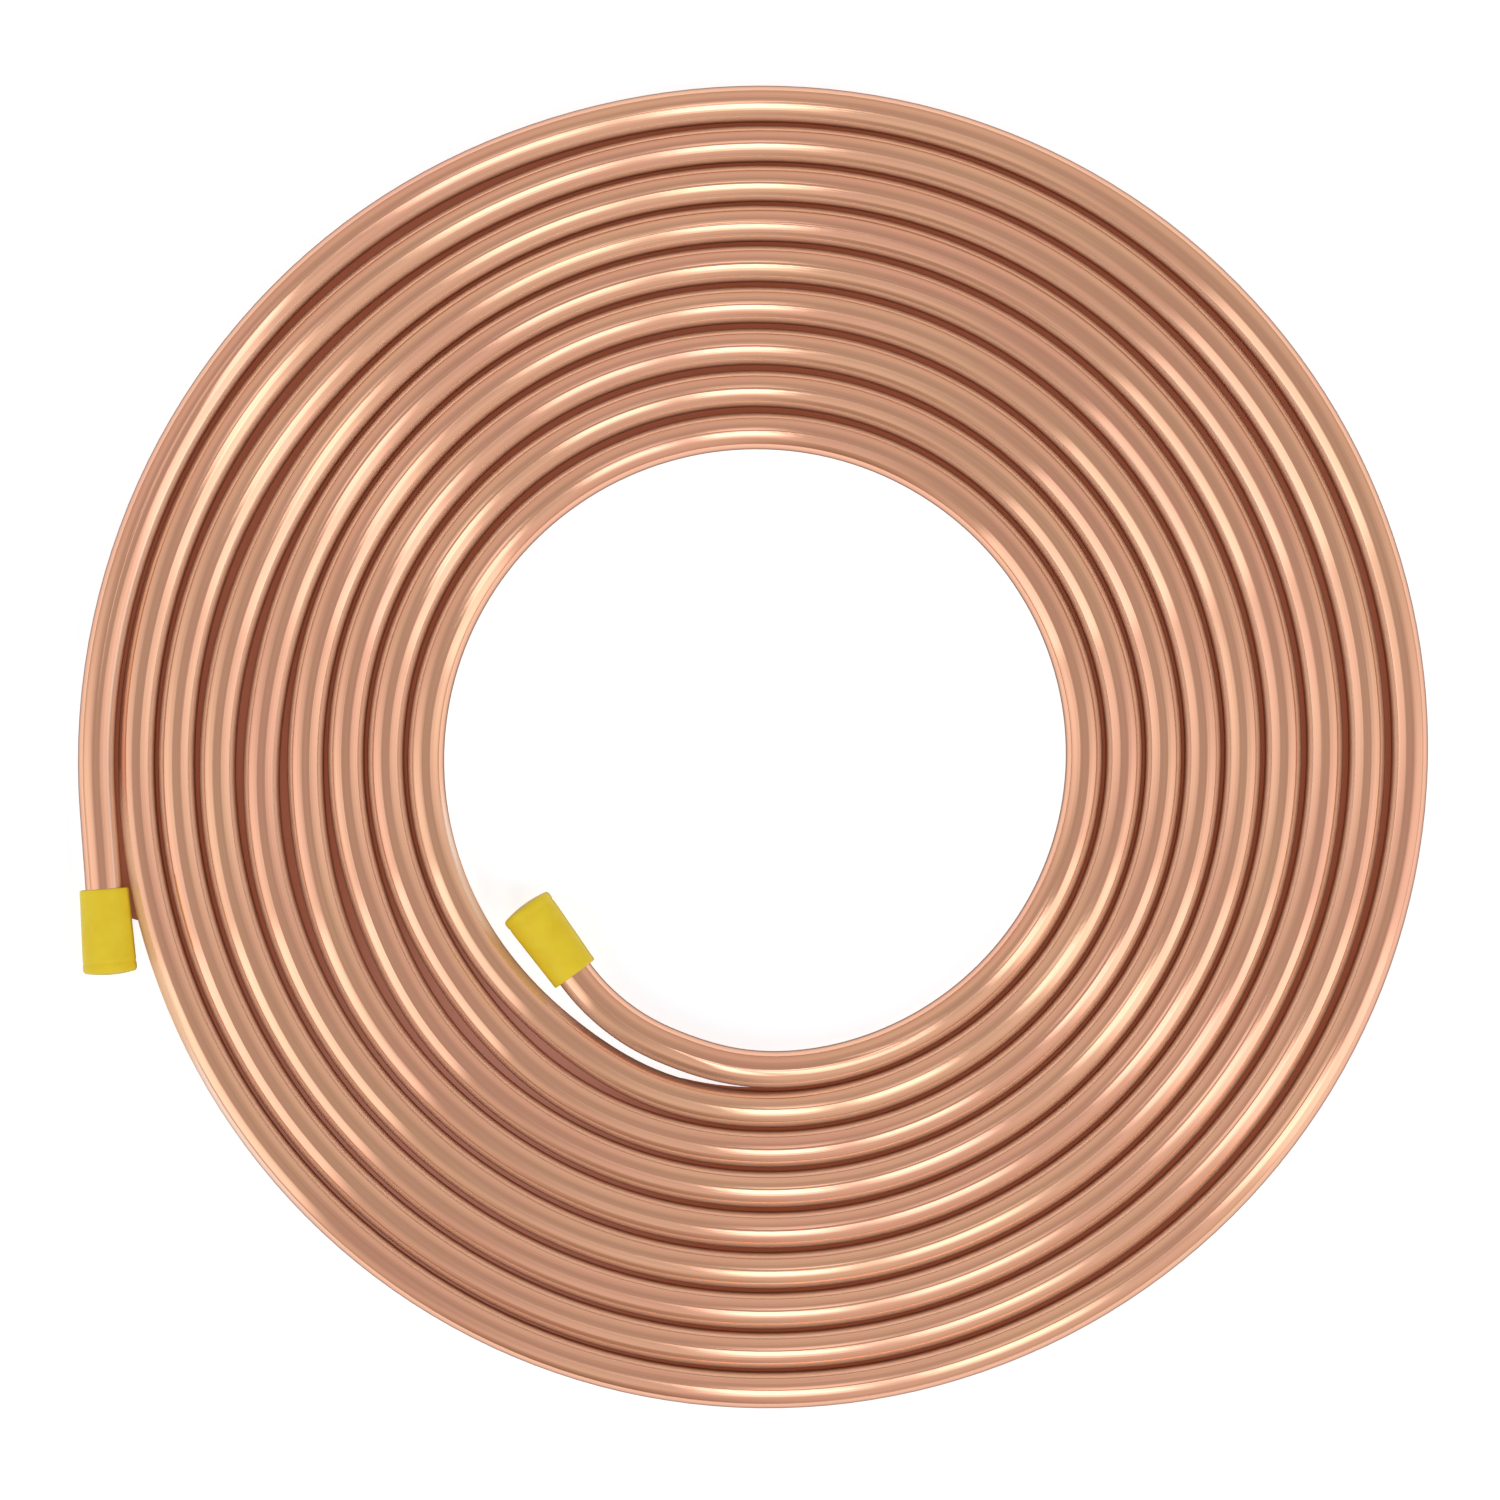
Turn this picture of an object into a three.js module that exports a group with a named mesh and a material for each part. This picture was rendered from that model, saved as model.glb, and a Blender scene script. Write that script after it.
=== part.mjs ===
// A flat spiral ("pancake") coil of soft copper tube with a push-on plastic cap
// on each end, lying on the floor. Millimetres, +Z up. The origin is at floor
// level, under the middle of the coil's bounding box.
//
// The tube is one solid with its bore open from end to end. Its centreline runs
// clockwise, seen from above, from the outer cap to the inner one:
//   straight outer lead, flat spiral, tighter inner bend, straight inner end.
import * as THREE from "three";

// ---- driving dimensions ----------------------------------------------------

// Tube: 3/8 in soft copper, 0.032 in wall.
const TUBE_OD = 9.525;
const TUBE_WALL = 0.813;

// Flat spiral. Angles are degrees of sweep, counted inward from the outer lead.
const INNER_RADIUS = 76.6; // centreline radius where the spiral ends
const SWEEP = 3174; // a little over 8 3/4 turns
const START_ANGLE = 185; // where the spiral starts, anticlockwise from +X
const TURN_GAP = 0.98; // mean gap between neighbouring turns

// Once a turn the tube steps over its inner neighbour. The step comes a little
// early each time, so it creeps round the coil, and it gets shorter.
const SEAM_STEP = 2.9;
const SEAM_EVERY = 344.5;
const FIRST_SEAM = 66;
const FIRST_SEAM_WIDTH = 9.2;
const LAST_SEAM_WIDTH = 5.8;

// The turns aren't quite concentric: the middle drifts from the outer to the
// inner turns, and two slow waves are left from unrolling and flattening.
const OUTER_CENTRE = [3.6, -0.5];
const INNER_CENTRE = [1.0, -3.3];
const WAVES = [
  { every: 171.5, height: 0.35, crest: 151 },
  { every: 378, height: 1.14, crest: 343.5 },
];

// Free ends.
const OUTER_LEAD = 20.2; // straight tube that shows before the outer cap
const INNER_TIGHTER = 22; // how much less the radius of the inner bend is than the spiral's
const INNER_BEND = 30.5; // degrees
const INNER_LEAD = 0.3; // straight tube that shows before the inner cap
const OUTER_RISE = 50; // sweep over which the tube rises to its cap
const INNER_RISE = 50;

// Push-on cap, wider at its closed end, which is what it rests on.
const CAP_LENGTH = 22.2;
const CAP_MOUTH_OD = 12.6;
const CAP_CLOSED_OD = 13.9;
const CAP_END_WALL = 2.6;
const CAP_DOME = 0.6; // height of the rounded closed end over its corner
const CAP_CORNER = 1.1; // corner radius of the closed end
const CAP_LIP = 0.35; // rounding of the mouth's edges
const CAP_CLEARANCE = 0.3; // between the tube and the cap, all round and at the end

// Facets.
const STEPS_PER_TURN = 36;
const BEND_STEPS = 4;
const TUBE_SIDES = 12;
const BORE_SIDES = 6;
const CAP_SIDES = 24;
const CORNER_STEPS = 4;

// ---- sizes worked out from them --------------------------------------------

const TURN_PITCH = TUBE_OD + TURN_GAP;
const DRIFT_PER_TURN = TURN_PITCH - (SEAM_STEP * 360) / SEAM_EVERY;
const COIL_HEIGHT = TUBE_OD / 2;
const CAP_HEIGHT = CAP_CLOSED_OD / 2;
const TUBE_CORNER_RADIUS = TUBE_OD / 2 / Math.cos(Math.PI / TUBE_SIDES);
const CAP_BORE_RADIUS = (TUBE_CORNER_RADIUS + CAP_CLEARANCE) / Math.cos(Math.PI / CAP_SIDES);
const CAP_BORE_DEPTH = CAP_LENGTH - CAP_END_WALL;
const IN_CAP = CAP_BORE_DEPTH - CAP_CLEARANCE; // length of tube inside a cap
const BEND_RADIUS = INNER_RADIUS - INNER_TIGHTER;

const radians = THREE.MathUtils.degToRad;
const UP = new THREE.Vector3(0, 0, 1);

// ---- centreline --------------------------------------------------------------

// How far the spiral has come in from its start after a sweep.
function fallAfter(sweep) {
  let fall = (DRIFT_PER_TURN * sweep) / 360;
  for (let seam = FIRST_SEAM; seam < SWEEP + 360; seam += SEAM_EVERY) {
    const width = THREE.MathUtils.lerp(
      FIRST_SEAM_WIDTH,
      LAST_SEAM_WIDTH,
      seam / SWEEP,
    );
    fall += SEAM_STEP / (1 + Math.exp((seam - sweep) / width));
  }
  for (const wave of WAVES) {
    fall -= wave.height * Math.cos((2 * Math.PI * (sweep - wave.crest)) / wave.every);
  }
  return fall;
}

function heightAt(sweep) {
  const outer = 1 - THREE.MathUtils.smoothstep(sweep, 0, OUTER_RISE);
  const inner = THREE.MathUtils.smoothstep(sweep, SWEEP - INNER_RISE, SWEEP);
  return THREE.MathUtils.lerp(COIL_HEIGHT, CAP_HEIGHT, Math.max(outer, inner));
}

function spiralPoint(sweep) {
  const angle = radians(START_ANGLE - sweep);
  const radius = INNER_RADIUS + fallAfter(SWEEP) - fallAfter(sweep);
  const along = sweep / SWEEP;
  return new THREE.Vector3(
    THREE.MathUtils.lerp(OUTER_CENTRE[0], INNER_CENTRE[0], along) + radius * Math.cos(angle),
    THREE.MathUtils.lerp(OUTER_CENTRE[1], INNER_CENTRE[1], along) + radius * Math.sin(angle),
    heightAt(sweep),
  );
}

function level(direction) {
  return direction.setZ(0).normalize();
}

// Where the spiral starts and ends, with its level directions of travel there.
const DELTA = 0.01;
const spiralStart = spiralPoint(0);
const startWay = level(spiralPoint(DELTA).sub(spiralPoint(-DELTA)));
const spiralEnd = spiralPoint(SWEEP);
const endWay = level(spiralPoint(SWEEP + DELTA).sub(spiralPoint(SWEEP - DELTA)));

// The inner bend turns clockwise from the end of the spiral.
const bendCentre = endWay.clone().cross(UP).multiplyScalar(BEND_RADIUS).add(spiralEnd);
function bendPoint(turned) {
  return spiralEnd.clone().sub(bendCentre).applyAxisAngle(UP, -radians(turned)).add(bendCentre);
}
const bendEnd = bendPoint(INNER_BEND);
const innerWay = endWay.clone().applyAxisAngle(UP, -radians(INNER_BEND));

const outerMouth = spiralStart.clone().addScaledVector(startWay, -OUTER_LEAD);
const innerMouth = bendEnd.clone().addScaledVector(innerWay, INNER_LEAD);
const outerTip = outerMouth.clone().addScaledVector(startWay, -IN_CAP);
const innerTip = innerMouth.clone().addScaledVector(innerWay, IN_CAP);

const SPIRAL_STEPS = Math.round((SWEEP / 360) * STEPS_PER_TURN);
const STEPS = 1 + SPIRAL_STEPS + BEND_STEPS + 1;

// The whole centreline. Equal steps of its parameter are equal angles along the
// spiral, so the facets of neighbouring turns lie side by side, and the section
// stays upright, with a flat below, all along.
class CoilCentreline extends THREE.Curve {
  getPoint(t, target = new THREE.Vector3()) {
    const step = t * STEPS - 1;
    if (step < 0) return target.lerpVectors(spiralStart, outerTip, -step);
    if (step <= SPIRAL_STEPS) return target.copy(spiralPoint((SWEEP * step) / SPIRAL_STEPS));
    const bent = step - SPIRAL_STEPS;
    if (bent <= BEND_STEPS) return target.copy(bendPoint((INNER_BEND * bent) / BEND_STEPS));
    return target.lerpVectors(bendEnd, innerTip, bent - BEND_STEPS);
  }
  getUtoTmapping(u) {
    return u;
  }
  computeFrenetFrames(segments) {
    const tangents = [];
    const normals = [];
    const binormals = [];
    for (let i = 0; i <= segments; i++) {
      const tangent = this.getTangentAt(i / segments);
      const normal = UP.clone().cross(tangent).normalize();
      tangents.push(tangent);
      normals.push(normal);
      binormals.push(tangent.clone().cross(normal));
    }
    return { tangents, normals, binormals };
  }
}

// ---- pieces --------------------------------------------------------------------

function polygon(path, sides, cornerRadius) {
  for (let i = 0; i <= sides; i++) {
    const angle = (2 * Math.PI * (i + 0.5)) / sides;
    const x = cornerRadius * Math.cos(angle);
    const y = cornerRadius * Math.sin(angle);
    if (i === 0) path.moveTo(x, y);
    else path.lineTo(x, y);
  }
  return path;
}

// The outside's flats touch the real round tube, and the bore's corners do too.
function tubeGeometry() {
  const section = polygon(new THREE.Shape(), TUBE_SIDES, TUBE_CORNER_RADIUS);
  section.holes.push(polygon(new THREE.Path(), BORE_SIDES, TUBE_OD / 2 - TUBE_WALL));
  return new THREE.ExtrudeGeometry(section, {
    steps: STEPS,
    curveSegments: 1,
    extrudePath: new CoilCentreline(),
  });
}

// Half section of the cap, its mouth at y = 0 and its closed end up.
function capGeometry() {
  const mouth = CAP_MOUTH_OD / 2;
  const closed = CAP_CLOSED_OD / 2;
  const shoulder = CAP_LENGTH - CAP_DOME - CAP_CORNER;
  const profile = [
    new THREE.Vector2(0, CAP_BORE_DEPTH),
    new THREE.Vector2(CAP_BORE_RADIUS, CAP_BORE_DEPTH),
    new THREE.Vector2(CAP_BORE_RADIUS, CAP_LIP),
    new THREE.Vector2(CAP_BORE_RADIUS + CAP_LIP, 0),
    new THREE.Vector2(mouth - CAP_LIP, 0),
    new THREE.Vector2(mouth, CAP_LIP),
  ];
  for (let i = 0; i <= CORNER_STEPS; i++) {
    const angle = (Math.PI / 2) * (i / CORNER_STEPS);
    profile.push(
      new THREE.Vector2(
        closed - CAP_CORNER * (1 - Math.cos(angle)),
        shoulder + CAP_CORNER * Math.sin(angle),
      ),
    );
  }
  profile.push(new THREE.Vector2((closed - CAP_CORNER) / 2, CAP_LENGTH - CAP_DOME / 4));
  profile.push(new THREE.Vector2(0, CAP_LENGTH));
  return new THREE.LatheGeometry(profile, CAP_SIDES);
}

const copper = new THREE.MeshStandardMaterial({ color: 0xc88a66, roughness: 0.32, metalness: 1 });
const vinyl = new THREE.MeshStandardMaterial({ color: 0xd9be32, roughness: 0.5, metalness: 0 });

function namedMesh(name, geometry, material) {
  const mesh = new THREE.Mesh(geometry, material);
  mesh.name = name;
  return mesh;
}

function capOn(name, mouthPoint, outward) {
  const cap = namedMesh(name, capGeometry(), vinyl);
  cap.position.copy(mouthPoint);
  cap.quaternion.setFromUnitVectors(new THREE.Vector3(0, 1, 0), outward);
  return cap;
}

// ---- the part --------------------------------------------------------------------

const coil = new THREE.Group();
coil.add(namedMesh("copper_tube", tubeGeometry(), copper));
coil.add(capOn("outer_end_cap", outerMouth, startWay.clone().negate()));
coil.add(capOn("inner_end_cap", innerMouth, innerWay));

const middle = new THREE.Box3().setFromObject(coil, true).getCenter(new THREE.Vector3());
coil.position.set(-middle.x, -middle.y, 0);

const part = new THREE.Group();
part.add(coil);
export default part;
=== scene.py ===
"""Looks of the copper tube coil: the bright drawn copper, the soft vinyl caps, a
white floor, soft studio light and a camera straight above.

The sizes and the route are in millimetres, as in the solids, and become metres
where a mesh is made. The camera and the textures are in metres.
"""

import math

import bpy
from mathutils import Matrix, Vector


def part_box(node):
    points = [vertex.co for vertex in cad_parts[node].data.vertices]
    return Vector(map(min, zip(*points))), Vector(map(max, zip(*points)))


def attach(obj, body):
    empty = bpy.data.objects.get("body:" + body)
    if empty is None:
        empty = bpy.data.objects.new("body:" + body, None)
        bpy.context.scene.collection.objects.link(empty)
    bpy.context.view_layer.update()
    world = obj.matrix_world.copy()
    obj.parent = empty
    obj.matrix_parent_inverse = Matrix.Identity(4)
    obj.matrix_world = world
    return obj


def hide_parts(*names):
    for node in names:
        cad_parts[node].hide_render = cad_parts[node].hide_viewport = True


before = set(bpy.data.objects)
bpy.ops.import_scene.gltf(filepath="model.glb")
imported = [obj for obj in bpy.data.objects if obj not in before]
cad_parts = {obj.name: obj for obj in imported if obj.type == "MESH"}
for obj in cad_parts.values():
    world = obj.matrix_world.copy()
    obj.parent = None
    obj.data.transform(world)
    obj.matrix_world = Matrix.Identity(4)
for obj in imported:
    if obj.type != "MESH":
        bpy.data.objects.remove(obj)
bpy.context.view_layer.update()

MM = 0.001

# ---- sizes: those of the solids, in millimetres ------------------------------

TUBE_OD = 9.525
TUBE_WALL = 0.813

INNER_RADIUS = 76.6
SWEEP = 3174
START_ANGLE = 185
TURN_GAP = 0.98
SEAM_STEP = 2.9
SEAM_EVERY = 344.5
FIRST_SEAM = 66
FIRST_SEAM_WIDTH = 9.2
LAST_SEAM_WIDTH = 5.8
OUTER_CENTRE = (3.6, -0.5)
INNER_CENTRE = (1.0, -3.3)
WAVES = ((171.5, 0.35, 151), (378, 1.14, 343.5))  # sweep of a wave, height, crest

OUTER_LEAD = 20.2
INNER_TIGHTER = 22
INNER_BEND = 30.5
INNER_LEAD = 0.3
OUTER_RISE = 50
INNER_RISE = 50

CAP_LENGTH = 22.2
CAP_MOUTH_OD = 12.6
CAP_CLOSED_OD = 13.9
CAP_END_WALL = 2.6
CAP_DOME = 0.6
CAP_CORNER = 1.1
CAP_LIP = 0.35

# ---- sizes that only the looks have -------------------------------------------

CAP_PLAY = 0.04  # between the tube and its cap, all round
CAP_LIP_IN, CAP_LIP_OUT = 0.5, 0.45  # rounding of the mouth's edges
CAP_CREASE = 3.3  # from the tip to the middle of the crease round the cap
CAP_CREASE_WIDTH, CAP_CREASE_DEPTH = 0.2, 0.2
CAP_CREASE_RUN = 0.4  # from the crease to the full width on either side
CAP_SKIN = 0.02  # how far the cap's side lies within the solid's
CAP_CORNER_TURN = 68  # degrees of the corner's rounding before the domed end

# Where a cap or the next turn lies beside the tube, by sweep, which places the rubbing, the
# painted paler tint and the painted sheen there: it comes in over the first two and goes over the
# last two, or just comes in or goes.
BY_OUTER_CAP = (334, 342, 356, 364)
BY_INNER_CAP = (SWEEP - 346, SWEEP - 338, SWEEP - 312, SWEEP - 304)
BY_INNER_CAP_SHARE = 0.4
NEIGHBOUR_OUTSIDE = (312, 334)
NEIGHBOUR_INSIDE = (SWEEP - 304, SWEEP - 290)

# How fine the meshes are.
SWEEP_STEP = 2  # degrees
BEND_STEPS = 20
TUBE_SIDES = 32
BORE_SIDES = 8
CAP_SIDES = 72
CAP_LIP_STEPS = 6
CAP_WALL_STEPS = 12
CAP_CORNER_STEPS = 10
CAP_DOME_STEPS = 8

DRIFT_PER_TURN = TUBE_OD + TURN_GAP - SEAM_STEP * 360 / SEAM_EVERY
COIL_HEIGHT = TUBE_OD / 2
CAP_HEIGHT = CAP_CLOSED_OD / 2
END_PLAY = 0.3  # between the tube's end and the floor of its cap
IN_CAP = CAP_LENGTH - CAP_END_WALL - END_PLAY
BEND_RADIUS = INNER_RADIUS - INNER_TIGHTER
UP = Vector((0, 0, 1))


# ---- route of the tube, as the solids have it ----------------------------------


def lerp(a, b, t):
    return a + (b - a) * t


def smooth(x, low, high):
    t = min(max((x - low) / (high - low), 0), 1)
    return t * t * (3 - 2 * t)


def fall_after(sweep):
    fall = DRIFT_PER_TURN * sweep / 360
    seam = FIRST_SEAM
    while seam < SWEEP + 360:
        width = lerp(FIRST_SEAM_WIDTH, LAST_SEAM_WIDTH, seam / SWEEP)
        fall += SEAM_STEP / (1 + math.exp((seam - sweep) / width))
        seam += SEAM_EVERY
    for every, height, crest in WAVES:
        fall -= height * math.cos(2 * math.pi * (sweep - crest) / every)
    return fall


END_FALL = fall_after(SWEEP)


def height_at(sweep):
    outer = 1 - smooth(sweep, 0, OUTER_RISE)
    inner = smooth(sweep, SWEEP - INNER_RISE, SWEEP)
    return lerp(COIL_HEIGHT, CAP_HEIGHT, max(outer, inner))


def spiral_point(sweep):
    angle = math.radians(START_ANGLE - sweep)
    radius = INNER_RADIUS + END_FALL - fall_after(sweep)
    along = sweep / SWEEP
    x = lerp(OUTER_CENTRE[0], INNER_CENTRE[0], along) + radius * math.cos(angle)
    y = lerp(OUTER_CENTRE[1], INNER_CENTRE[1], along) + radius * math.sin(angle)
    return Vector((x, y, height_at(sweep)))


def turned(v, degrees):
    """v turned clockwise, seen from above."""
    a = -math.radians(degrees)
    x = v.x * math.cos(a) - v.y * math.sin(a)
    y = v.x * math.sin(a) + v.y * math.cos(a)
    return Vector((x, y, v.z))


def level_way(sweep, step=0.01):
    way = spiral_point(sweep + step) - spiral_point(sweep - step)
    way.z = 0
    return way.normalized()


def nested_at(sweep):
    """How closely a turn or a cap lies beside the tube on its outer and its inner side: 1 by a
    turn, more by a cap. It places the rubbing, the painted paler tint and the painted sheen.
    """
    by_outer_cap = smooth(sweep, *BY_OUTER_CAP[:2]) - smooth(sweep, *BY_OUTER_CAP[2:])
    by_inner_cap = smooth(sweep, *BY_INNER_CAP[:2]) - smooth(sweep, *BY_INNER_CAP[2:])
    outer = smooth(sweep, *NEIGHBOUR_OUTSIDE) + by_outer_cap
    inner = 1 - smooth(sweep, *NEIGHBOUR_INSIDE) + BY_INNER_CAP_SHARE * by_inner_cap
    return outer, inner


class Route:
    """The centreline's points from the outer to the inner end, and the caps' places."""

    def __init__(self):
        start, start_way = spiral_point(0), level_way(0)
        end, end_way = spiral_point(SWEEP), level_way(SWEEP)
        centre = end + end_way.cross(UP) * BEND_RADIUS
        inner_way = turned(end_way, INNER_BEND)
        bend_end = centre + turned(end - centre, INNER_BEND)
        self.outer_mouth = start - start_way * OUTER_LEAD
        self.outer_way = -start_way
        self.inner_mouth = bend_end + inner_way * INNER_LEAD
        self.inner_way = inner_way
        self.points = [
            self.outer_mouth - start_way * IN_CAP,
            self.outer_mouth,
            start - start_way * (OUTER_LEAD / 2),
        ]
        self.nested = [nested_at(0)] * 3
        steps = round(SWEEP / SWEEP_STEP)
        for i in range(steps + 1):
            self.points.append(spiral_point(SWEEP * i / steps))
            self.nested.append(nested_at(SWEEP * i / steps))
        for i in range(1, BEND_STEPS + 1):
            self.points.append(centre + turned(end - centre, INNER_BEND * i / BEND_STEPS))
        self.points += [self.inner_mouth, self.inner_mouth + inner_way * IN_CAP]
        self.nested += [nested_at(SWEEP)] * (len(self.points) - len(self.nested))


# ---- meshes ----------------------------------------------------------------------


def mesh_object(name, vertices, faces):
    mesh = bpy.data.meshes.new(name)
    mesh.from_pydata([v * MM for v in vertices], [], faces)
    mesh.validate()
    mesh.update()
    mesh.shade_smooth()
    obj = bpy.data.objects.new(name, mesh)
    bpy.context.collection.objects.link(obj)
    return obj


def section_frames(points):
    """At each point the level direction to the left of travel, and the upright one."""
    frames = []
    for i, _ in enumerate(points):
        ahead = points[min(i + 1, len(points) - 1)]
        behind = points[max(i - 1, 0)]
        way = (ahead - behind).normalized()
        side = UP.cross(way).normalized()
        frames.append((side, way.cross(side)))
    return frames


# Layout of the tube's texture map: its length cut into strips that lie side by side, the
# bore in a narrow strip beside them, and the two cut ends in a corner.
STRIPS = 16
STRIP_PITCH = 0.0585
STRIP_WIDTH = 0.055
BORE_LEFT = 0.94
BORE_WIDTH = 0.02
END_MIDDLE = 0.98
END_HALF = 0.012
OUTER_END_UP, INNER_END_UP = 0.02, 0.05
MAP_MARGIN = 0.002


def corners(left, width, low, high, around_first):
    """A map rectangle's corners in the order of an outside face, or of a bore face."""
    if around_first:
        return ((left, low), (left + width, low), (left + width, high), (left, high))
    return ((left, low), (left, high), (left + width, high), (left + width, low))


def make_tube(route, shift):
    """The hollow tube: its outside, its bore and the two square-cut ends."""
    points = [p + shift for p in route.points]
    frames = section_frames(points)
    count = len(points)
    vertices = []
    grain = []
    nested = []

    def ring(centre, side, up, sides, radius, along, neighbours):
        for k in range(sides):
            a = 2 * math.pi * k / sides - math.pi / 2
            vertices.append(centre + side * (radius * math.cos(a)) + up * (radius * math.sin(a)))
            grain.append((along * MM, math.cos(a), math.sin(a)))
            nested.append(neighbours[0] if math.cos(a) > 0 else neighbours[1])

    for sides, radius in ((TUBE_SIDES, TUBE_OD / 2), (BORE_SIDES, TUBE_OD / 2 - TUBE_WALL)):
        along = 0
        for i, centre in enumerate(points):
            if i:
                along += (centre - points[i - 1]).length
            ring(centre, *frames[i], sides, radius, along, route.nested[i])

    faces = []
    places = []
    bore = count * TUBE_SIDES
    per_strip = math.ceil((count - 1) / STRIPS)
    for i in range(count - 1):
        strip, row = divmod(i, per_strip)
        for k in range(TUBE_SIDES):
            a, b = i * TUBE_SIDES + k, i * TUBE_SIDES + (k + 1) % TUBE_SIDES
            faces.append((a, a + TUBE_SIDES, b + TUBE_SIDES, b))
            width = STRIP_WIDTH / TUBE_SIDES
            low, high = row / per_strip, (row + 1) / per_strip
            places.append(corners(strip * STRIP_PITCH + k * width, width, low, high, False))
        for k in range(BORE_SIDES):
            a, b = bore + i * BORE_SIDES + k, bore + i * BORE_SIDES + (k + 1) % BORE_SIDES
            faces.append((a, b, b + BORE_SIDES, a + BORE_SIDES))
            width = BORE_WIDTH / BORE_SIDES
            low, high = i / (count - 1), (i + 1) / (count - 1)
            places.append(corners(BORE_LEFT + k * width, width, low, high, True))
    many = TUBE_SIDES // BORE_SIDES
    for station, flip in ((0, False), (count - 1, True)):
        middle = INNER_END_UP if station else OUTER_END_UP
        for k in range(BORE_SIDES):
            outside = [station * TUBE_SIDES + (k * many + j) % TUBE_SIDES for j in range(many + 1)]
            inside = [bore + station * BORE_SIDES + (k + j) % BORE_SIDES for j in (1, 0)]
            face = outside + inside
            faces.append(tuple(reversed(face)) if flip else tuple(face))
            places.append(end_corners(faces[-1], grain, bore, middle))

    obj = mesh_object("copper_tube_drawn", vertices, faces)
    drawn = obj.data.attributes.new("drawn", "FLOAT_VECTOR", "POINT")
    drawn.data.foreach_set("vector", [x for g in grain for x in g])
    obj.data.attributes.new("nested", "FLOAT", "POINT").data.foreach_set("value", nested)
    layer = obj.data.uv_layers.new(name="OFBake")
    for face, place in zip(obj.data.polygons, places):
        for loop, (u, v) in zip(face.loop_indices, place):
            layer.data[loop].uv = (MAP_MARGIN + u, MAP_MARGIN + (1 - 2 * MAP_MARGIN) * v)
    return obj


def end_corners(face, grain, first_of_bore, middle):
    """The map places of a cut end's face, as it looks from straight ahead."""
    found = []
    for vertex in face:
        share = END_HALF * (1 if vertex < first_of_bore else 1 - 2 * TUBE_WALL / TUBE_OD)
        found.append((END_MIDDLE + share * grain[vertex][1], middle + share * grain[vertex][2]))
    return found


def arc(cx, cy, radius, start, end, steps):
    points = []
    for i in range(steps + 1):
        a = math.radians(lerp(start, end, i / steps))
        points.append((cx + radius * math.cos(a), cy + radius * math.sin(a)))
    return points


def cap_profile():
    """Half section from the floor of the bore to the tip: (radius, distance from the mouth)."""
    bore = TUBE_OD / 2 + CAP_PLAY
    depth = CAP_LENGTH - CAP_END_WALL
    mouth, closed = CAP_MOUTH_OD / 2, CAP_CLOSED_OD / 2
    inner, outer = CAP_LIP_IN, CAP_LIP_OUT
    shoulder = CAP_LENGTH - CAP_DOME - CAP_CORNER
    profile = [(0, depth), (bore, depth), (bore, inner)]
    profile += arc(bore + inner, inner, inner, 180, 270, CAP_LIP_STEPS)[1:]
    profile += arc(mouth - outer, outer, outer, 270, 360, CAP_LIP_STEPS)
    crease_from = CAP_LENGTH - CAP_CREASE - CAP_CREASE_WIDTH / 2
    crease_to = crease_from + CAP_CREASE_WIDTH
    for i in range(1, CAP_WALL_STEPS + 1):
        y = lerp(outer, crease_from - CAP_CREASE_RUN, i / CAP_WALL_STEPS)
        profile.append((lerp(mouth, closed, y / shoulder) - CAP_SKIN, y))
    crease = closed - CAP_SKIN - CAP_CREASE_DEPTH
    profile += [(crease, crease_from), (crease, crease_to)]
    profile += [(closed - 2 * CAP_SKIN, crease_to + CAP_CREASE_RUN)]
    profile += arc(closed - CAP_CORNER, shoulder, CAP_CORNER, 0, CAP_CORNER_TURN, CAP_CORNER_STEPS)
    corner_r, corner_y = profile[-1]
    for i in range(1, CAP_DOME_STEPS + 1):
        r = corner_r * (1 - i / CAP_DOME_STEPS)
        profile.append((r, lerp(CAP_LENGTH, corner_y, (r / corner_r) ** 2)))
    return profile


def make_cap(name, mouth, way, shift):
    """Lathes the cap about its axis; its bottom lies on the floor."""
    side = UP.cross(way)
    profile = cap_profile()
    start = mouth + shift
    vertices = [start + way * profile[0][1]]
    for r, y in profile[1:-1]:
        for k in range(CAP_SIDES):
            a = 2 * math.pi * k / CAP_SIDES
            vertices.append(start + way * y + side * (r * math.cos(a)) + UP * (r * math.sin(a)))
    vertices.append(start + way * profile[-1][1])
    last = len(vertices) - 1
    faces = []
    rings = len(profile) - 2
    for k in range(CAP_SIDES):
        n = (k + 1) % CAP_SIDES
        faces.append((0, 1 + k, 1 + n))
        for i in range(rings - 1):
            a, b = 1 + i * CAP_SIDES + k, 1 + i * CAP_SIDES + n
            faces.append((a, a + CAP_SIDES, b + CAP_SIDES, b))
        tail = 1 + (rings - 1) * CAP_SIDES
        faces.append((tail + k, last, tail + n))
    return mesh_object(name, vertices, faces)


def middle_of(corners):
    low, high = corners
    return Vector([(a + b) / 2 for a, b in zip(low, high)])


def frame_shift(route):
    """From the route's own coordinates to the frame, by where the outer cap lies."""
    mouth, way = route.outer_mouth, route.outer_way
    side = UP.cross(way)
    outline = (
        (0, CAP_MOUTH_OD / 2 - CAP_LIP),
        (CAP_LIP, CAP_MOUTH_OD / 2),
        (CAP_LENGTH - CAP_DOME - CAP_CORNER, CAP_CLOSED_OD / 2),
        (CAP_LENGTH, 0),
    )
    rims = [mouth + way * y + side * (radius * sign) for y, radius in outline for sign in (-1, 1)]
    low = [min(p[i] for p in rims) for i in range(2)]
    high = [max(p[i] for p in rims) for i in range(2)]
    there = middle_of(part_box("outer_end_cap"))
    return Vector([there[i] / MM - (low[i] + high[i]) / 2 for i in range(2)] + [0])


# ---- materials -------------------------------------------------------------------


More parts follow.
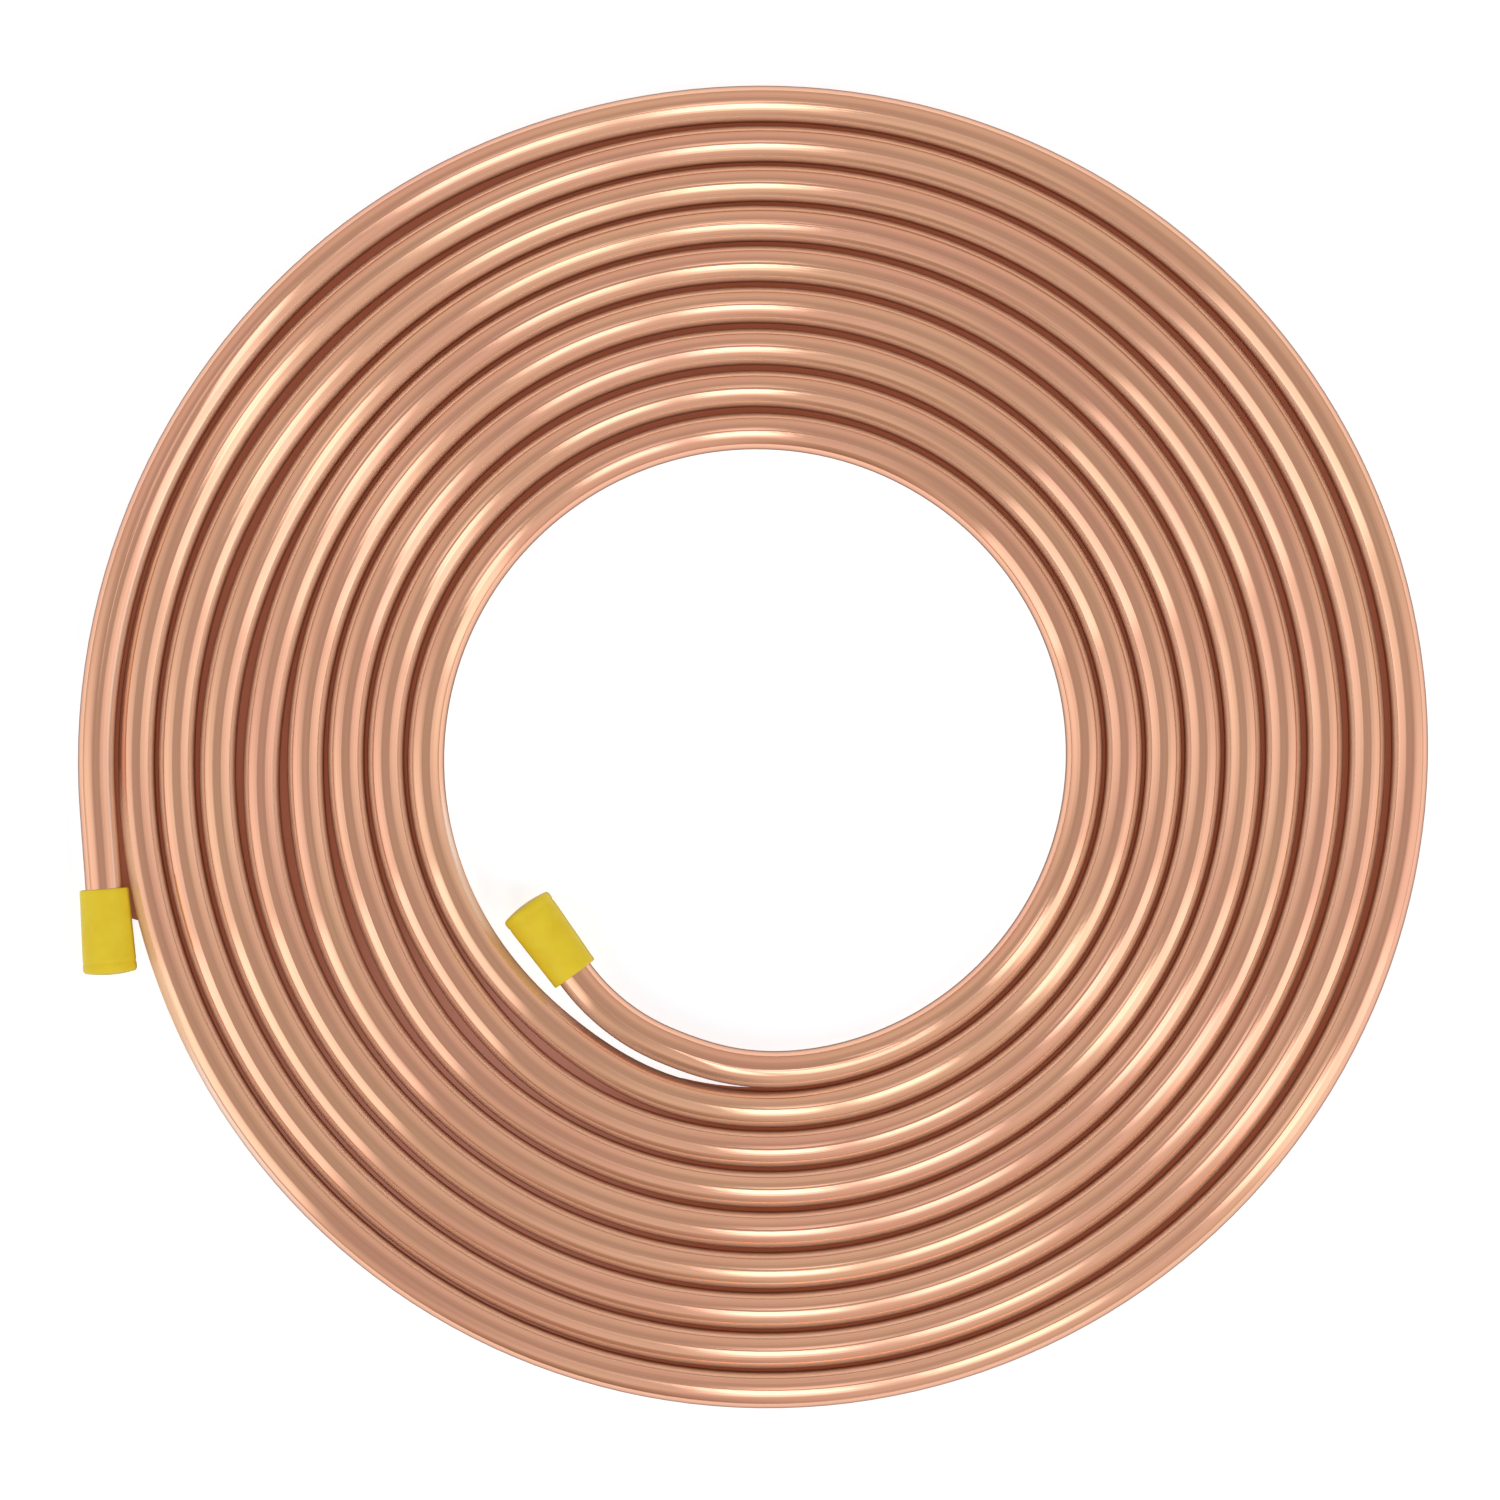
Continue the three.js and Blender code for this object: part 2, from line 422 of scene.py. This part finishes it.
class Nodes:
    """The node tree of a material or of the world, with short ways to add to it."""

    def __init__(self, owner):
        owner.use_nodes = True
        self.owner = owner
        self.tree = owner.node_tree
        self.bsdf = self.tree.nodes.get("Principled BSDF")

    def add(self, kind, **settings):
        node = self.tree.nodes.new(kind)
        for key, value in settings.items():
            setattr(node, key, value)
        return node

    def link(self, source, target):
        self.tree.links.new(source, target)

    def scaled(self, source, factors):
        node = self.add("ShaderNodeVectorMath", operation="MULTIPLY")
        self.link(source, node.inputs[0])
        node.inputs[1].default_value = factors
        return node.outputs[0]

    def noise(self, vector, scale=1.0, detail=3.0, rough=0.55):
        node = self.add("ShaderNodeTexNoise")
        self.link(vector, node.inputs["Vector"])
        node.inputs["Scale"].default_value = scale
        node.inputs["Detail"].default_value = detail
        node.inputs["Roughness"].default_value = rough
        return node.outputs["Fac"]

    def spread(self, value, low, high, to_low, to_high, way="LINEAR"):
        node = self.add("ShaderNodeMapRange", interpolation_type=way)
        self.link(value, node.inputs["Value"])
        ends = {"From Min": low, "From Max": high, "To Min": to_low, "To Max": to_high}
        for key, number in ends.items():
            node.inputs[key].default_value = number
        return node.outputs["Result"]

    def mixed(self, factor, first, second):
        node = self.add("ShaderNodeMix", data_type="RGBA")
        self.link(factor, node.inputs["Factor"])
        for socket, colour in ((node.inputs[6], first), (node.inputs[7], second)):
            if isinstance(colour, tuple):
                socket.default_value = (*colour, 1)
            else:
                self.link(colour, socket)
        return node.outputs[2]

    def math(self, operation, *values):
        node = self.add("ShaderNodeMath", operation=operation)
        for socket, value in zip(node.inputs, values):
            if isinstance(value, (int, float)):
                socket.default_value = value
            else:
                self.link(value, socket)
        return node.outputs[0]

    def summed(self, first, second):
        return self.math("ADD", first, second)

    def product(self, first, second):
        return self.math("MULTIPLY", first, second)

    def bump(self, height, strength, distance, normal=None):
        node = self.add("ShaderNodeBump")
        node.inputs["Strength"].default_value = strength
        node.inputs["Distance"].default_value = distance
        self.link(height, node.inputs["Height"])
        if normal is not None:
            self.link(normal, node.inputs["Normal"])
        return node.outputs["Normal"]


COPPER = (0.91, 0.52, 0.34)
COPPER_PINK = (0.89, 0.465, 0.325)
COPPER_DULL = (0.72, 0.40, 0.26)
COPPER_PAINTED_PALE = (0.94, 0.70, 0.56)  # painted light: a paler, less saturated tint where the turns lie side by side, for the lighter look of the reflections between them
COPPER_PAINTED_SHADE_LOW = (0.70, 0.39, 0.26)  # painted shade: darker low on the sides, toward the floor
COPPER_PAINTED_SHEEN_BY_CAPS = (0.97, 0.62, 0.38)  # painted sheen beside the caps: a pale peach, not metallic there, that stands in for a lit band on the flank
COPPER_EDGE = (0.4, 0.44, 0.48)  # tint of what it reflects at a glancing angle

# Marks on it: how often they come along the tube (per metre) and across it (per radius).
MOTTLE_SCALE, STAIN_SCALE = (14, 0.6, 0.6), (40, 1.4, 1.4)
LINE_SCALE, DENT_SCALE = (5, 9, 9), (2, 8, 8)
MOTTLE_FROM, STREAK_FROM, STAIN_FROM = (0.35, 0.65), (0.4, 0.7), (0.6, 0.8)
STREAK_SHARE = 0.4
DENT_DEPTH = 0.00003  # metres

# Heights on its section, 1 at the crown and 0 halfway down: where each begins and is full. They
# place the painted paler tint with the rubbing beside the next turn, the extra roughness lower
# down, the painted shade low on the sides and the painted sheen beside the caps.
PAINTED_PALE_AND_RUBBED_BELOW, LOW_BELOW = (0.82, 0.66), (0.64, 0.48)
PAINTED_SHADE_BELOW, HANDLED_AND_PAINTED_SHEEN_BELOW = (0.5, 0.1), (0.96, 0.84)
HANDLED_AND_PAINTED_SHEEN_SHARE = 0.8

POLISH_FROM, POLISH = (0.3, 0.7), (0.045, 0.07)  # roughness with the drawn lines
STAIN_ROUGHER, RUBBED_ROUGHER, LOW_ROUGHER, HANDLED_ROUGHER = 0.04, 0.24, 0.2, 0.3


def copper_material():
    n = Nodes(bpy.data.materials.new("bright_drawn_copper"))
    place = n.add("ShaderNodeAttribute", attribute_name="drawn").outputs["Vector"]
    nested = n.add("ShaderNodeAttribute", attribute_name="nested").outputs["Fac"]
    mottle = n.noise(n.scaled(place, MOTTLE_SCALE), detail=2)
    lines = n.noise(n.scaled(place, LINE_SCALE), detail=5, rough=0.62)
    dents = n.noise(n.scaled(place, DENT_SCALE), detail=1)
    stain = n.noise(n.scaled(place, STAIN_SCALE), detail=3)
    split = n.add("ShaderNodeSeparateXYZ")
    n.link(place, split.inputs[0])
    up = split.outputs["Z"]

    mottled = n.mixed(n.spread(mottle, *MOTTLE_FROM, 0, 1), COPPER, COPPER_PINK)
    streaked = n.mixed(n.spread(lines, *STREAK_FROM, 0, STREAK_SHARE), mottled, COPPER_DULL)
    # Beside the next turn: a painted paler tint, and rubbing that makes it rougher.
    beside = n.product(n.spread(up, *PAINTED_PALE_AND_RUBBED_BELOW, 0, 1, "SMOOTHSTEP"), nested)
    # Low on the sides: painted shade.
    side = n.spread(up, *PAINTED_SHADE_BELOW, 0, 1, "SMOOTHSTEP")
    # Beside the caps: a painted sheen, where the copper is also rougher and less metallic.
    by_cap = n.spread(nested, 1, 2, 0, HANDLED_AND_PAINTED_SHEEN_SHARE)
    handled_and_painted_sheen = n.product(by_cap, n.spread(up, *HANDLED_AND_PAINTED_SHEEN_BELOW, 0, 1))
    # The painted paler tint and the painted shade go into the base colour.
    painted_pale_and_shade = n.mixed(side, n.mixed(beside, streaked, COPPER_PAINTED_PALE), COPPER_PAINTED_SHADE_LOW)
    n.link(n.mixed(handled_and_painted_sheen, painted_pale_and_shade, COPPER_PAINTED_SHEEN_BY_CAPS), n.bsdf.inputs["Base Color"])
    n.link(n.math("SUBTRACT", 1, handled_and_painted_sheen), n.bsdf.inputs["Metallic"])

    stained = n.spread(stain, *STAIN_FROM, 0, STAIN_ROUGHER)
    polished = n.summed(n.spread(lines, *POLISH_FROM, *POLISH), stained)
    rubbed = n.math("MULTIPLY_ADD", beside, RUBBED_ROUGHER, polished)
    low = n.product(n.spread(up, *LOW_BELOW, 0, LOW_ROUGHER, "SMOOTHSTEP"), nested)
    roughness = n.math("MULTIPLY_ADD", handled_and_painted_sheen, HANDLED_ROUGHER, n.summed(rubbed, low))
    n.link(roughness, n.bsdf.inputs["Roughness"])
    n.bsdf.inputs["Specular Tint"].default_value = (*COPPER_EDGE, 1)
    n.link(n.bump(dents, 1, DENT_DEPTH), n.bsdf.inputs["Normal"])
    return n.owner


VINYL = (0.89, 0.69, 0.026)
VINYL_DEEP = (0.84, 0.61, 0.015)
VINYL_PAINTED_SHADE_LOW = (0.62, 0.46, 0.014)  # painted shade, low on the sides
VINYL_PAINTED_SHADE_FROM = (0.4, 0.1)  # how far the surface still faces up where the painted shade begins, is full
CLOUD_SCALE, GRAIN_SCALE = 160, 1400  # per metre
CLOUD_FROM, GRAIN_FROM, VINYL_ROUGHNESS = (0.35, 0.7), (0.3, 0.7), (0.42, 0.52)
GRAIN_STRENGTH, GRAIN_DEPTH = 0.12, 0.0001
VINYL_SPECULAR = 0.35
VINYL_DEPTH, VINYL_DEPTH_SCALE, VINYL_DEPTH_COLOUR = 0.12, 0.0008, (1.0, 0.7, 0.1)


def vinyl_material():
    n = Nodes(bpy.data.materials.new("soft_yellow_vinyl"))
    place = n.add("ShaderNodeTexCoord").outputs["Object"]
    cloud = n.noise(place, scale=CLOUD_SCALE, detail=3)
    grain = n.noise(place, scale=GRAIN_SCALE, detail=3, rough=0.6)
    split = n.add("ShaderNodeSeparateXYZ")
    n.link(n.add("ShaderNodeTexCoord").outputs["Normal"], split.inputs[0])
    # Painted shade where the surface turns to the side and down.
    side = n.spread(split.outputs["Z"], *VINYL_PAINTED_SHADE_FROM, 0, 1, "SMOOTHSTEP")
    clouded = n.mixed(n.spread(cloud, *CLOUD_FROM, 0, 1), VINYL, VINYL_DEEP)
    n.link(n.mixed(side, clouded, VINYL_PAINTED_SHADE_LOW), n.bsdf.inputs["Base Color"])
    n.link(n.spread(grain, *GRAIN_FROM, *VINYL_ROUGHNESS), n.bsdf.inputs["Roughness"])
    n.bsdf.inputs["Specular IOR Level"].default_value = VINYL_SPECULAR
    n.bsdf.inputs["Subsurface Weight"].default_value = VINYL_DEPTH
    n.bsdf.inputs["Subsurface Radius"].default_value = VINYL_DEPTH_COLOUR
    n.bsdf.inputs["Subsurface Scale"].default_value = VINYL_DEPTH_SCALE
    n.link(n.bump(grain, GRAIN_STRENGTH, GRAIN_DEPTH), n.bsdf.inputs["Normal"])
    return n.owner


def matt(name, colour):
    n = Nodes(bpy.data.materials.new(name))
    n.bsdf.inputs["Base Color"].default_value = (*colour, 1)
    n.bsdf.inputs["Roughness"].default_value = 1
    n.bsdf.inputs["Specular IOR Level"].default_value = 0
    return n


def lift_for_eyes(n):
    """Shows the emission to camera, glossy and transmission rays only; returns the first."""
    path = n.add("ShaderNodeLightPath")
    seen = path.outputs["Is Camera Ray"]
    glossy, through = path.outputs["Is Glossy Ray"], path.outputs["Is Transmission Ray"]
    n.link(n.summed(n.summed(seen, glossy), through), n.bsdf.inputs["Emission Strength"])
    return seen


def floor_material():
    """The open floor: white to the camera, reflections and see-through things. Painted light lifts
    it more where the coil shuts it in, and painted shade darkens it in reflections near the coil.
    """
    n = matt("white_floor", FLOOR_COLOUR)
    shade = n.add("ShaderNodeAmbientOcclusion", samples=SHADE_SAMPLES)
    shade.inputs["Distance"].default_value = SHADE_REACH
    sky = shade.outputs["AO"]
    clear = n.spread(sky, *SHUT_IN_SKY, 0, 1)
    open_sky = n.spread(sky, *OPEN_SKY, 0, 1)
    # Painted light: for the camera the lift is stronger where the sky is shut in, lightening the
    # shade there.
    shown_with_painted_light = n.mixed(clear, FLOOR_PAINTED_LIGHT_SHUT_IN, FLOOR_LIFT)
    # Painted shade: in reflections the lift fades to black where the sky is shut in.
    mirrored_with_painted_shade = n.mixed(open_sky, BLACK, FLOOR_LIFT)
    n.link(n.mixed(lift_for_eyes(n), mirrored_with_painted_shade, shown_with_painted_light), n.bsdf.inputs["Emission Color"])
    return n.owner


def strip_material():
    """The floor between the turns: painted shade in a copper tint, painted copper-coloured bounce
    light, and more painted light where its lit attribute is set; the emission shows like the open
    floor's lift.
    """
    n = matt("painted_shade_between_turns", GAP_PAINTED_SHADE)
    lit = n.add("ShaderNodeAttribute", attribute_name="lit").outputs["Fac"]
    n.link(n.mixed(lit, GAP_PAINTED_BOUNCE_GLOW, GAP_PAINTED_LIGHT_GLOW), n.bsdf.inputs["Emission Color"])
    lift_for_eyes(n)
    return n.owner


# ---- stage: floor, light and camera --------------------------------------------------

BLACK = (0, 0, 0)
FLOOR_COLOUR = (0.9, 0.9, 0.9)
FLOOR_LIFT = (0.37, 0.41, 0.45)
FLOOR_PAINTED_LIGHT_SHUT_IN = (0.86, 0.84, 0.83)  # painted light: a stronger lift where the coil stands round it, which lightens its shade there

# How much of the sky is open within reach (metres): where each comes in and is full.
SHADE_REACH, SHADE_SAMPLES = 0.01, 3
SHUT_IN_SKY, OPEN_SKY = (0.4, 0.6), (0.5, 0.95)

GAP_PAINTED_SHADE = (0.38, 0.25, 0.2)  # painted shade: the dark, copper-tinted strip of floor between the turns
# Painted bounce light from the copper on that strip, shown as emission.
GAP_PAINTED_BOUNCE_GLOW = (0.16, 0.0325, 0.010)
GAP_PAINTED_LIGHT_GLOW = (0.26, 0.105, 0.072)  # painted light where more light falls in between them
GLOW_LIT_AZIMUTH, GLOW_LIT_REACH = 230, 38

FLOOR_RADIUS = 8000
FLOOR_STEP = 2
OUTER_PARTING = -9.6  # sweep at which the outer end leaves the next turn
INNER_PARTING = SWEEP - 28.4
TAPER = 24  # sweep over which the open floor by the inner end narrows to a point
TAPER_ACROSS = (0.4, 0.6)  # share of the way from one turn to the next that its edge crosses


def turn_point(angle, least_sweep):
    """The centreline's point on the floor at an angle, on the first turn after a sweep."""
    sweep = least_sweep + (START_ANGLE - angle - least_sweep) % 360
    point = spiral_point(sweep)
    point.z = 0
    return point


def inner_parting(angle):
    """The edge of the open floor inside the coil."""
    least = INNER_PARTING - 360
    past = (START_ANGLE - angle - least) % 360
    share = lerp(*TAPER_ACROSS, past / TAPER) if past < TAPER else 1
    return turn_point(angle, least + 360 * (past < TAPER)).lerp(turn_point(angle, least), share)


def make_floor(shift):
    """A round floor: open inside the coil and round it; between its turns a strip of painted shade
    and painted bounce light.
    """
    vertices = [Vector((0, 0, 0))]
    lit = [0]
    faces = []
    steps = 360 // FLOOR_STEP
    for i in range(steps):
        angle = i * FLOOR_STEP
        a = math.radians(angle)
        vertices.append(inner_parting(angle) + shift)
        vertices.append(turn_point(angle, OUTER_PARTING) + shift)
        vertices.append(Vector((math.cos(a), math.sin(a), 0)) * FLOOR_RADIUS)
        # How much painted light falls on the strip at this angle.
        lit += [1 - smooth(abs(angle - GLOW_LIT_AZIMUTH), 0, GLOW_LIT_REACH)] * 3
    for i in range(steps):
        a, b = 1 + 3 * i, 1 + 3 * ((i + 1) % steps)
        faces += [(0, a, b), (a, a + 1, b + 1, b), (a + 1, a + 2, b + 2, b + 1)]
    floor = mesh_object("floor", vertices, faces)
    floor.data.materials.append(floor_material())
    floor.data.materials.append(strip_material())
    floor.data.attributes.new("lit", "FLOAT", "POINT").data.foreach_set("value", lit)
    for face in floor.data.polygons:
        # The faces between the turns take the painted shade material.
        face.material_index = 1 if face.index % 3 == 1 else 0


# Brightness of the room by the direction looked at: (degrees from overhead, level).
ROOM = ((0, 0.54), (20, 0.52), (35, 0.585), (55, 0.73), (66, 0.74), (78, 0.67), (90, 0.58))
ROOM_TINT = (1, 0.935, 0.88)

# Soft lights in it: azimuth anticlockwise from +X and its half width, softness of the
# sides, degrees from overhead where it comes up and where it fades, and its level.
LIGHTS = {
    "left_softbox": (212, 13, 3, (20, 30), (76, 84), 0.61),
    "left_wing": (190, 18, 18, (20, 30), (76, 84), 0.42),
    "right_softbox": (331.5, 11, 4, (24, 34), (80, 90), 0.46),
    "right_wing": (345, 22, 20, (22, 32), (80, 90), 0.38),
    "ceiling_glow": (281, 38, 12, (0, 8), (36, 66), 0.2),
    "dark_corner": (253, 14, 12, (48, 66), (95, 110), -0.28),
}

# Windows in the ceiling right above, cut by bars that meet overhead: the azimuth they
# lean to, their half width, and their level on that side of overhead and on the other.
# All share one rise and one fade along that azimuth.
WINDOWS = {
    "first": (272.5, 7, 1.9, 1.05),
    "second": (292.5, 8.5, 1.45, 0.65),
    "third": (323.5, 7.5, 1.42, 1.1),
}
WINDOW_RISE, WINDOW_FADE, WINDOW_SOFT = (-26, 0), (16, 48), 4
WINDOW_SPLIT = (-3, 3)  # degrees of lean over which one side's level gives way to the other's
WINDOW_HUB = (2, 6)  # nothing shines where the bars meet
WINDOW_NARROWED = (0, 10, 0.5, 1)  # from and to these degrees from overhead, and the shares
LIGHT_TINT = (0.94, 1, 1.05)
WHITE = (1, 1, 1)


def light_from(n, azimuth, zenith, light):
    middle, half, soft, rise, fade, level = light
    turn = n.math("WRAP", n.math("SUBTRACT", azimuth, middle), 180, -180)
    beside = n.math("ABSOLUTE", turn)
    width = n.spread(beside, half - soft, half + soft, level, 0, "SMOOTHSTEP")
    up = n.spread(zenith, *rise, 0, 1, "SMOOTHSTEP")
    down = n.spread(zenith, *fade, 1, 0, "SMOOTHSTEP")
    return n.product(n.product(width, up), down)


def window_from(n, azimuth, zenith, narrowed, window):
    middle, half, near, far = window
    turn = n.math("SUBTRACT", azimuth, middle)
    beside = n.math("DIVIDE", n.math("ABSOLUTE", n.math("WRAP", turn, 90, -90)), narrowed)
    width = n.spread(beside, half - WINDOW_SOFT, half + WINDOW_SOFT, 1, 0, "SMOOTHSTEP")
    leaning = n.product(zenith, n.math("COSINE", n.math("RADIANS", turn)))
    up = n.spread(leaning, *WINDOW_RISE, 0, 1, "SMOOTHSTEP")
    down = n.spread(leaning, *WINDOW_FADE, 1, 0, "SMOOTHSTEP")
    level = n.product(width, n.spread(leaning, *WINDOW_SPLIT, far, near))
    return n.product(level, n.product(up, down))


def tinted(n, level, tint):
    node = n.add("ShaderNodeVectorMath", operation="SCALE")
    node.inputs[0].default_value = tint
    n.link(level, node.inputs["Scale"])
    return node.outputs[0]


def light_room():
    world = bpy.data.worlds.new("pale_room")
    bpy.context.scene.world = world
    n = Nodes(world)
    split = n.add("ShaderNodeSeparateXYZ")
    n.link(n.add("ShaderNodeTexCoord").outputs["Generated"], split.inputs[0])
    x, y, z = split.outputs
    azimuth = n.math("DEGREES", n.math("ARCTAN2", y, x))
    zenith = n.math("DEGREES", n.math("ARCCOSINE", z))
    ramp = n.add("ShaderNodeValToRGB")
    n.link(n.math("DIVIDE", zenith, 90), ramp.inputs[0])
    elements = ramp.color_ramp.elements
    while len(elements) < len(ROOM):
        elements.new(0.5)
    for element, (degrees, level) in zip(elements, ROOM):
        element.position = degrees / 90
        element.color = (level, level, level, 1)
    narrowed = n.spread(zenith, *WINDOW_NARROWED)
    windows = None
    for window in WINDOWS.values():
        shining = window_from(n, azimuth, zenith, narrowed, window)
        windows = n.summed(windows, shining) if windows else shining
    lights = n.product(windows, n.spread(zenith, *WINDOW_HUB, 0, 1, "SMOOTHSTEP"))
    for light in LIGHTS.values():
        lights = n.summed(lights, light_from(n, azimuth, zenith, light))
    room = tinted(n, ramp.outputs[0], ROOM_TINT)
    everything = n.add("ShaderNodeVectorMath", operation="ADD")
    n.link(room, everything.inputs[0])
    n.link(tinted(n, lights, LIGHT_TINT), everything.inputs[1])
    path = n.add("ShaderNodeLightPath")
    seen = n.mixed(path.outputs["Is Camera Ray"], everything.outputs[0], WHITE)
    n.link(seen, n.tree.nodes["Background"].inputs["Color"])


VIEW_CENTRE = (-0.0009, -0.0009)
VIEW_DISTANCE = 1.5
VIEW_WIDTH = 0.3861  # of the coil's middle plane that the picture takes in
SENSOR = 36  # millimetres
CLIP_END = 50


def make_camera():
    data = bpy.data.cameras.new("camera")
    data.sensor_width = SENSOR
    data.lens = SENSOR * VIEW_DISTANCE / VIEW_WIDTH
    data.clip_end = CLIP_END
    camera = bpy.data.objects.new("camera", data)
    camera.location = (*VIEW_CENTRE, COIL_HEIGHT * MM + VIEW_DISTANCE)
    bpy.context.collection.objects.link(camera)
    bpy.context.scene.camera = camera


# ---- the scene -------------------------------------------------------------------------

bpy.context.scene.view_settings.view_transform = "Standard"
make_camera()
light_room()

route = Route()
shift = frame_shift(route)
make_floor(shift)
tube = make_tube(route, shift)
outer_cap = make_cap("outer_cap_vinyl", route.outer_mouth, route.outer_way, shift)
inner_cap = make_cap("inner_cap_vinyl", route.inner_mouth, route.inner_way, shift)

vinyl = vinyl_material()
for piece, material, node, slot in (
    (tube, copper_material(), "copper_tube", "copper"),
    (outer_cap, vinyl, "outer_end_cap", "cap_vinyl"),
    (inner_cap, vinyl, "inner_end_cap", "cap_vinyl"),
):
    piece.data.materials.append(material)
    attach(piece, "root")
    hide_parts(node)
